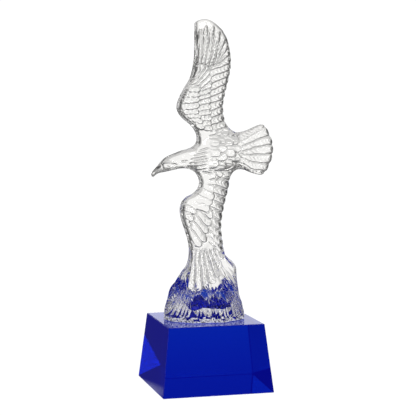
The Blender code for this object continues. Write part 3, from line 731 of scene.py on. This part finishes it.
def rock_depth(x, h):
    """How far the rock stands out of the middle plane, with its flutes, flat breaks and lumpy foot."""
    spread = x * FAN_HEIGHT / (FAN_HEIGHT - np.minimum(h, ROCK_TOP))
    wander = sum(amount * np.sin(spread / wave) for amount, wave in FLUTE_WANDER)
    flutes = (1.0 - np.abs(np.sin(math.pi * (spread + wander) / FLUTE_PITCH))) ** FLUTE_SHARPNESS
    skirt_top = SKIRT_TOP + SKIRT_WAVE[0] * np.sin(spread / SKIRT_WAVE[1])
    skirt = 1.0 - smooth_step(skirt_top - SKIRT_FADE, skirt_top, h)
    ends = END_FLUTES_SHARE * smooth_step(*END_FLUTES, np.abs(x)) * (1.0 - smooth_step(*END_FLUTES_TOP, h))
    depth = np.full_like(x, LEAST_ROCK)
    for middle, facets in BOULDERS:
        depth = np.maximum(depth, boulder_depth(x, h, middle, facets))
    depth = np.minimum(depth, boulder_depth(x, h, 0.0, SKIRT))
    depth = depth - FLUTE_DEPTH * flutes * np.maximum(skirt, ends) * smooth_step(*FLUTES_START, h)
    t = np.clip(h / FOOT_LIP_HEIGHT, 0.0, 1.0)
    lip = FOOT_LIP * (1.0 - np.sqrt(1.0 - (1.0 - t) ** 2))
    leaning = spread + wander + BREAK_LEAN * h
    breaks = BREAK_DEPTH * broken(leaning, h, BREAK_WIDTH, BREAK_HEIGHT, BREAK_PATTERN)
    lumps = FOOT_LUMPS * uneven(x, h, *FOOT_LUMP_PATTERN) * smooth_step(*FOOT_LUMPS_START, h)
    rough = lumps * (1.0 - smooth_step(*FOOT_LUMPS_END, h)) - breaks * smooth_step(*BREAKS_START, h)
    return (depth - lip + rough) * (1.0 - smooth_step(*ROCK_INTO_WING, h))


def edge_share(near):
    """The share of the depth that is left near the outline."""
    share = 1.0
    for name, (width, least) in EDGE_ROUNDING.items():
        t = np.clip(near[name] / width, 0.0, 1.0)
        share = np.minimum(share, least + (1.0 - least) * np.sqrt(1.0 - (1.0 - t) ** 2))
    return share


def ridge(distance, width):
    """A rounded ridge, 1 high, along the line where the distance is 0."""
    return np.exp(-((distance / width) ** 2))


def face_relief(x, h):
    """The eye in its socket under a brow, the line of the mouth and the edge of the beak's cere."""
    eye = np.exp(-(((x - EYE[0]) / EYE_SIZE[0]) ** 2 + ((h - EYE[1]) / EYE_SIZE[1]) ** 2) ** 2)
    socket = np.exp(-(((x - SOCKET[0]) / SOCKET_SIZE[0]) ** 2 + ((h - SOCKET[1]) / SOCKET_SIZE[1]) ** 2))
    brow = ridge(h - BROW[1] + BROW_CURVE * (x - BROW[0]) ** 2, BROW_WIDTH)
    brow = brow * smooth_step(*BROW_START, x) * (1.0 - smooth_step(*BROW_END, x))
    mouth = ridge(h - MOUTH_HEIGHT - MOUTH_RISE * smooth_step(*MOUTH_CURVE, x), MOUTH_WIDTH)
    mouth = mouth * smooth_step(*MOUTH_START, x) * (1.0 - smooth_step(*MOUTH_END, x))
    cere = ridge(x - CERE[0] + CERE_SLOPE * (h - CERE[1]), CERE_WIDTH) * smooth_step(*CERE_TOP, h)
    raised = EYE_HEIGHT * eye + BROW_HEIGHT * brow
    return raised - SOCKET_DEPTH * socket - MOUTH_DEPTH * mouth - CERE_DEPTH * cere


def hackles(x, h):
    """The depth of the lines cut between the neck's long feathers."""
    depth = np.zeros_like(x)
    for line in HACKLES:
        at, height = guide_curve(line, samples=8).T
        cut = ridge(h - np.interp(x, at, height), HACKLE_WIDTH)
        cut = cut * smooth_step(at[0], at[0] + HACKLE_STARTS, x)
        cut = cut * (1.0 - smooth_step(at[-1] - HACKLE_ENDS, at[-1], x))
        depth = np.maximum(depth, HACKLE_DEPTH * cut)
    return depth


class Carving:
    """A relief worked out on an even grid, to be read off anywhere."""

    def __init__(self, relief, low, high):
        self.low = low
        x = np.arange(low[0], high[0] + CARVING_STEP, CARVING_STEP)
        h = np.arange(low[1], high[1] + CARVING_STEP, CARVING_STEP)
        self.field = relief(*np.meshgrid(x, h))
        second = [np.abs(np.gradient(np.gradient(self.field, axis=axis), axis=axis)) for axis in (0, 1)]
        self.bends = softened(sum(second), BEND_SOFTNESS) / CARVING_STEP**2

    def read(self, field, x, h):
        """A field on the grid at the points, blended between its nearest values."""
        before_last = 1.001    # Just inside the last cell
        column = np.clip((x - self.low[0]) / CARVING_STEP, 0, field.shape[1] - before_last)
        row = np.clip((h - self.low[1]) / CARVING_STEP, 0, field.shape[0] - before_last)
        i, j = row.astype(int), column.astype(int)
        v, u = row - i, column - j
        lower = field[i, j] * (1 - u) + field[i, j + 1] * u
        upper = field[i + 1, j] * (1 - u) + field[i + 1, j + 1] * u
        return lower * (1 - v) + upper * v

    def at(self, x, h):
        """The relief's height at the points."""
        return self.read(self.field, x, h)

    def bend_at(self, x, h):
        """How strongly the relief bends at the points."""
        return self.read(self.bends, x, h)


def bird_depth(x, h, near, swell):
    """Half the depth of the bird without its carving, with the share of its body's swelling given."""
    wings = smooth_max(wing_depth(x, h, near), tail_depth(x), WING_TAIL_FILLET)
    full, share = body_depth(x, h)
    swell = 1.0 - (1.0 - swell) * smooth_step(*NECK_INTO_BODY, x)
    return wings + np.maximum(full - wings, 0.0) * share * swell


def front_carving(x, h):
    """The front's carving on the grid, as a height over the forms below it."""
    rows = UPPER_WING + LOWER_WING + BODY_FEATHERS + TAIL_FEATHERS
    relief, cuts, seams = feather_relief(x, h, rows)
    fine = softened(cuts, CUT_POLISH) * CUT_DEPTH + SEAM_DEPTH * seams + hackles(x, h) - face_relief(x, h)
    return softened(relief, POLISH) - GROUND_DEPTH - fine + RIPPLE * uneven(x, h, *RIPPLE_PATTERN)


def feathers_on_rock(x, h):
    """1 where the lower wing's long feathers lie on the rock, 0 elsewhere."""
    relief, _, _ = feather_relief(x, h, LOWER_WING[:1])
    return softened((relief > 0.0).astype(float), POLISH)


def back_carving(x, h):
    """The back's carving on the grid: the long feathers alone, and lower."""
    rows = UPPER_WING[:2] + LOWER_WING[:2] + TAIL_FEATHERS
    relief, _, seams = feather_relief(x, h, rows)
    return BACK_CARVING * (softened(relief, POLISH) - GROUND_DEPTH - seams)


def front_depth(low, high):
    """A function for how far the front stands out. The lower wing's feathers lie on the rock."""
    carving = Carving(front_carving, low, high)
    on_rock = Carving(feathers_on_rock, low, high)

    def depth(x, h, near):
        bare_rock = (1.0 - smooth_step(*WING_OVER_ROCK, h)) * (1.0 - on_rock.at(x, h))
        rise = RISE_ONTO_ROCK * (1.0 - smooth_step(*RISE_FADES, h))
        bird = (bird_depth(x, h, near, 1.0) + rise) * (1.0 - bare_rock)
        rim = RIM_HEIGHT * ridge(near["leading"] - RIM_INSET, RIM_WIDTH)
        ends = smooth_step(*RIM_STARTS, h) * (1.0 - smooth_step(*RIM_ENDS, h))
        clear_of_head = smooth_step(*WING_ABOVE_HEAD, np.abs(h - SHOULDER))
        carved = bird + carving.at(x, h) + rim * ends * clear_of_head
        return np.maximum(np.maximum(carved, rock_depth(x, h)) * edge_share(near), LEAST_DEPTH)

    return depth, carving.bend_at


def back_depth(low, high):
    """A function for how far the back stands out: the same form with a lower, simpler carving."""
    carving = Carving(back_carving, low, high)

    def depth(x, h, near):
        carved = bird_depth(x, h, near, BACK_SWELL) + carving.at(x, h)
        return np.maximum(np.maximum(carved, rock_depth(x, h)) * edge_share(near), LEAST_DEPTH)

    return depth, carving.bend_at


def middle_plane(h):
    """How far the middle of the casting leans back, which it does only towards the upper wing's tip."""
    return TIP_SWEEP * smooth_step(*LEANING_BACK, h)


def staggered_grid(low, high, step):
    """Points over a rectangle, in rows that make even triangles."""
    rows = []
    for k, h in enumerate(np.arange(low[1], high[1], step * math.sqrt(3) / 2)):
        x = np.arange(low[0] + step / 2 * (k % 2), high[0], step)
        rows.append(np.column_stack([x, np.full_like(x, h)]))
    return np.vstack(rows)


def face_mesh(places, names, steps, depth_field, side):
    """One face of the casting inside the outline: its points, the outline's first, and its triangles.

    The points are close together where the carving bends and on the rock.
    """
    low, high = places.min(0), places.max(0)
    depth, bend = depth_field(low, high)
    rough, rough_names = places[::2], names[::2]
    parts = [places]
    for step, fine in zip(steps, (False, True)):
        grid = staggered_grid(low, high, step)
        bends = (bend(grid[:, 0], grid[:, 1]) > BEND) | (grid[:, 1] < FINE_ROCK_TOP)
        grid = grid[bends == fine]
        near = distances(grid[:, 0], grid[:, 1], rough, rough_names)
        parts.append(grid[np.min(list(near.values()), axis=0) > EDGE_CLEARANCE])
    flat = [Vector(place) for place in np.vstack(parts)]
    loop = list(range(len(places)))
    inside = 1
    closest = 1e-5
    result = delaunay_2d_cdt(flat, [], [loop], inside, closest)
    points = np.array([tuple(place) for place in result[0]])
    x, h = points.T
    out = depth(x, h, distances(x, h, rough, rough_names))
    solid = np.column_stack([x, middle_plane(h) + side * out, h])
    return solid, result[2]


def add_object(name, data):
    """A new object in the scene."""
    added = bpy.data.objects.new(name, data)
    bpy.context.scene.collection.objects.link(added)
    return added


def new_material(name):
    """A new material, its node tree and the tree's shader."""
    material = bpy.data.materials.new(name)
    material.use_nodes = True
    tree = material.node_tree
    return material, tree, tree.nodes["Principled BSDF"]


def set_values(node, **values):
    """Sets a node's properties and inputs by name. An output given in place of a value is linked."""
    for name, value in values.items():
        if hasattr(node, name):
            setattr(node, name, value)
            continue
        socket = node.inputs[name.replace("_", " ")]
        if isinstance(value, bpy.types.NodeSocket):
            node.id_data.links.new(value, socket)
        else:
            socket.default_value = value


def add_node(tree, kind, **values):
    """A new node with its properties and inputs set by name."""
    node = tree.nodes.new(kind)
    set_values(node, **values)
    return node


def noise_patches(tree, scale, detail):
    """Chance patches that stay in place on the object, from 0 to 1."""
    place = add_node(tree, "ShaderNodeTexCoord").outputs["Object"]
    return add_node(tree, "ShaderNodeTexNoise", Scale=scale, Detail=detail, Vector=place).outputs["Fac"]


def chance_colour(tree, scale, detail, *colours):
    """A colour that changes in patches between the two given, each with its place in the noise."""
    ramp = add_node(tree, "ShaderNodeValToRGB", Fac=noise_patches(tree, scale, detail))
    for element, (position, colour) in zip(ramp.color_ramp.elements, colours):
        element.position = position
        element.color = (*colour, 1.0)
    return ramp.outputs["Color"]


def polished_glass(name, ripple, ripple_depth, roughness):
    """White glass with the ripples of its surface and a trace of uneven gloss."""
    material, tree, shader = new_material(name)
    waves = noise_patches(tree, 1.0 / ripple, detail=2.0)
    bump = add_node(tree, "ShaderNodeBump", Strength=1.0, Distance=ripple_depth, Height=waves)
    gloss = add_node(tree, "ShaderNodeMapRange", To_Min=0.0, To_Max=roughness, Value=waves)
    set_values(shader, Base_Color=WHITE, IOR=GLASS_IOR, Transmission_Weight=1.0,
               Normal=bump.outputs["Normal"], Roughness=gloss.outputs["Result"])
    return material, tree, shader


def make_clear():
    """Clear crystal, very slightly grey."""
    clear, _, shader = polished_glass("clear crystal", *CAST_SURFACE)
    set_values(shader, Base_Color=(*CLEAR_COLOUR, 1.0))
    return clear


def make_glue():
    """The glued face under the foot: a film that light passes straight, tinted in patches with painted blue
    and near-black painted shade, for the blue block and dark refractions seen through it.
    """
    glue, tree, shader = polished_glass("glued face", *GLUED_SURFACE)
    set_values(shader, IOR=1.0, Base_Color=chance_colour(tree, *GLUE_PAINTED_BLUE_AND_SHADE))
    return glue


def make_ground():
    """Crumbly ground glass, pale and speckled dark, which also gives off that colour as a painted glow."""
    ground, tree, shader = polished_glass("ground rim", *GROUND_SURFACE)
    colour_and_painted_glow = chance_colour(tree, *GROUND_SPECKLED_AND_GLOW)
    set_values(shader, Base_Color=colour_and_painted_glow, Transmission_Weight=GROUND_CLEARNESS, Emission_Color=colour_and_painted_glow,
               Emission_Strength=GROUND_PAINTED_GLOW)
    return ground


def in_ground_band(points):
    """For each point, whether it is in the band of ground glass round the foot's lower edge."""
    x, y, h = points.T
    return h < BAND_HEIGHT + BAND_STRAY * uneven(x + y, x - y, *BAND_PATTERN)


def wall_rings(places, front_edge, back_edge):
    """The rows of points between the front's edge and the back's, dented inwards by chance."""
    inwards = inward_normals(places)
    arc = np.cumsum(np.hypot(*(places - np.roll(places, 1, axis=0)).T))
    ripple = smooth_step(*INSET_STARTS, places[:, 1]) * WALL_RIPPLE
    ripple = ripple * (1.0 + ROCK_GNARL * (1.0 - smooth_step(*GNARL_FADES, places[:, 1])))
    rings = []
    for k in range(1, WALL_ROWS + 1):
        share = k / (WALL_ROWS + 1)
        ring = front_edge * (1 - share) + back_edge * share
        dents = ripple * np.maximum(WALL_DENTED + uneven(arc, WALL_ROWS_APART * k, *WALL_PATTERN), 0.0)
        ring[:, [0, 2]] += inwards * dents[:, None]
        rings.append(ring)
    return rings


def make_eagle():
    """The casting: both faces, joined by a wall round the outline, which is flat under the foot."""
    places, names = outline_places(OUTLINE_STEP)
    places = notched(places)
    places += inward_normals(places) * CASTING_INSET * smooth_step(*INSET_STARTS, places[:, 1:])
    count = len(places)
    front, front_faces = face_mesh(places, names, FRONT_STEPS, front_depth, side=-1)
    back, back_faces = face_mesh(places, names, BACK_STEPS, back_depth, side=1)
    drawn_mm = EAGLE_HEIGHT * MM / WING_TIP
    scale = np.array([drawn_mm, MM, drawn_mm])
    lift = np.array([0.0, 0.0, (PLINTH_HEIGHT + GLUE_GAP) * MM])
    bm = bmesh.new()
    edges = []
    for points, faces in ((front, front_faces), (back, back_faces)):
        verts = [bm.verts.new(p) for p in points * scale + lift]
        ground = in_ground_band(points)
        for corners in faces:
            face = bm.faces.new([verts[k] for k in corners])
            face.material_index = GROUND if all(ground[k] for k in corners) else CLEAR
        edges.append((verts[:count], ground[:count]))
    rows = [edges[0]]
    for ring in wall_rings(places, front[:count], back[:count]):
        rows.append(([bm.verts.new(p) for p in ring * scale + lift], in_ground_band(ring)))
    rows.append(edges[1])
    for (near_verts, near_ground), (far_verts, far_ground) in zip(rows, rows[1:]):
        for k in range(count):
            after = (k + 1) % count
            face = bm.faces.new((near_verts[k], near_verts[after], far_verts[after], far_verts[k]))
            if near_ground[k] and near_ground[after] and far_ground[k] and far_ground[after]:
                face.material_index = GROUND
            if max(places[k][1], places[after][1]) < TINY:
                face.material_index = GLUED
    bmesh.ops.triangulate(bm, faces=bm.faces)
    bmesh.ops.recalc_face_normals(bm, faces=bm.faces)
    for edge in bm.edges:
        if len({face.material_index == GLUED for face in edge.link_faces}) > 1:
            edge.smooth = False
    mesh = bpy.data.meshes.new("crystal_eagle")
    bm.to_mesh(mesh)
    bm.free()
    for polygon in mesh.polygons:
        polygon.use_smooth = True
    for material in (make_clear(), make_glue(), make_ground()):
        mesh.materials.append(material)
    return add_object("crystal_eagle", mesh)


def make_cobalt():
    """Cobalt blue crystal: it soaks up red and green light, and a faint painted blue glow is given off by
    what it holds.
    """
    blue, tree, _ = polished_glass("cobalt crystal", *CUT_SURFACE)
    soak = add_node(tree, "ShaderNodeVolumeAbsorption", Color=(*SOAK_COLOUR, 1.0), Density=SOAK_DENSITY)
    painted_glow = add_node(tree, "ShaderNodeEmission", Color=(*PAINTED_GLOW_COLOUR, 1.0), Strength=PAINTED_GLOW_STRENGTH)
    both = add_node(tree, "ShaderNodeAddShader")
    tree.links.new(soak.outputs["Volume"], both.inputs[0])
    tree.links.new(painted_glow.outputs["Emission"], both.inputs[1])
    set_values(tree.nodes["Material Output"], Volume=both.outputs["Shader"])
    return blue


def aim(thing, middle, turn, rise, distance):
    """Stands a camera or light off from a middle, facing it, at a turn from +Y towards +X and a rise."""
    turn, rise = math.radians(turn), math.radians(rise)
    back = Vector((math.sin(turn) * math.cos(rise), math.cos(turn) * math.cos(rise), math.sin(rise)))
    thing.location = middle + back * distance
    thing.rotation_euler = (-back).to_track_quat("-Z", "Y").to_euler()


def make_camera():
    """The camera, at the photograph's angle."""
    data = bpy.data.cameras.new("camera")
    data.lens = CAMERA_LENS
    camera = add_object("camera", data)
    aim(camera, CAMERA_TARGET, 180.0 - CAMERA_AZIMUTH, CAMERA_ELEVATION, CAMERA_DISTANCE)
    bpy.context.scene.camera = camera


def brightness_ramp(tree, turn, stops):
    """A brightness for each turn from +Y towards +X, in degrees, from the stops given."""
    ramp = add_node(tree, "ShaderNodeValToRGB", Fac=turn)
    elements = ramp.color_ramp.elements
    while len(elements) > 1:
        elements.remove(elements[-1])
    elements[0].position = 0.0
    for degrees, value in stops:
        element = elements.new((degrees + 180) / 360) if degrees > -180 else elements[0]
        element.color = (value, value, value, 1.0)
    return ramp.outputs["Color"]


def make_world():
    """Soft studio light all round: a backdrop, dark sides, a pale ground and a dim ceiling."""
    world = bpy.data.worlds.new("studio")
    world.use_nodes = True
    tree = world.node_tree
    place = add_node(tree, "ShaderNodeTexCoord").outputs["Generated"]
    parts = add_node(tree, "ShaderNodeSeparateXYZ", Vector=place)
    turn = add_node(tree, "ShaderNodeMath", operation="ARCTAN2")
    tree.links.new(parts.outputs["X"], turn.inputs[0])
    tree.links.new(parts.outputs["Y"], turn.inputs[1])
    share = add_node(tree, "ShaderNodeMapRange", From_Min=-math.pi, From_Max=math.pi,
                     Value=turn.outputs["Value"])
    seen = None
    for start, end, stops in BANDS:
        light = brightness_ramp(tree, share.outputs["Result"], stops)
        if seen is not None:
            band = add_node(tree, "ShaderNodeMapRange", interpolation_type="SMOOTHSTEP",
                            From_Min=start, From_Max=end, Value=parts.outputs["Z"])
            mix = add_node(tree, "ShaderNodeMix", data_type="RGBA", Factor=band.outputs["Result"])
            below, above, mixed = mix.inputs[6], mix.inputs[7], mix.outputs[2]
            tree.links.new(seen, below)
            tree.links.new(light, above)
            light = mixed
        seen = light
    set_values(tree.nodes["Background"], Color=seen)
    bpy.context.scene.world = world


def make_floor():
    """A pale, evenly lit disc under the block that fades out towards its edge."""
    mesh = bpy.data.meshes.new("floor")
    bm = bmesh.new()
    bmesh.ops.create_circle(bm, cap_ends=True, radius=FLOOR_RADIUS, segments=96)
    bm.to_mesh(mesh)
    bm.free()
    floor = add_object("floor", mesh)
    floor.location.z = -FLOOR_GAP
    material, tree, shader = new_material("pale floor")
    place = add_node(tree, "ShaderNodeTexCoord").outputs["Object"]
    from_middle = add_node(tree, "ShaderNodeVectorMath", operation="LENGTH", Vector=place)
    fade = add_node(tree, "ShaderNodeMapRange", interpolation_type="SMOOTHSTEP",
                    From_Min=FLOOR_FADE, From_Max=FLOOR_RADIUS, To_Min=1.0, To_Max=0.0,
                    Value=from_middle.outputs["Value"])
    set_values(shader, Base_Color=(*FLOOR_COLOUR, 1.0), Roughness=FLOOR_ROUGHNESS, IOR=FLOOR_IOR,
               Emission_Color=WHITE, Emission_Strength=FLOOR_GLOW, Alpha=fade.outputs["Result"])
    mesh.materials.append(material)


def make_softbox(name, turn, rise, distance, size, energy):
    """A square soft light."""
    light = bpy.data.lights.new(name, "AREA")
    light.shape = "SQUARE"
    light.size = size
    light.energy = energy
    aim(add_object(name, light), SOFTBOX_MIDDLE, turn, rise, distance)


make_camera()
make_world()
make_floor()
for box in SOFTBOXES:
    make_softbox(*box)
eagle = make_eagle()
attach(eagle, "root")
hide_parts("eagle")
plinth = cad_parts["plinth"]
plinth.data.materials.clear()
plinth.data.materials.append(make_cobalt())

bpy.context.scene.view_settings.view_transform = "Standard"
cycles = bpy.context.scene.cycles
cycles.max_bounces = 32
cycles.transmission_bounces = 32
cycles.glossy_bounces = 12
cycles.transparent_max_bounces = 16
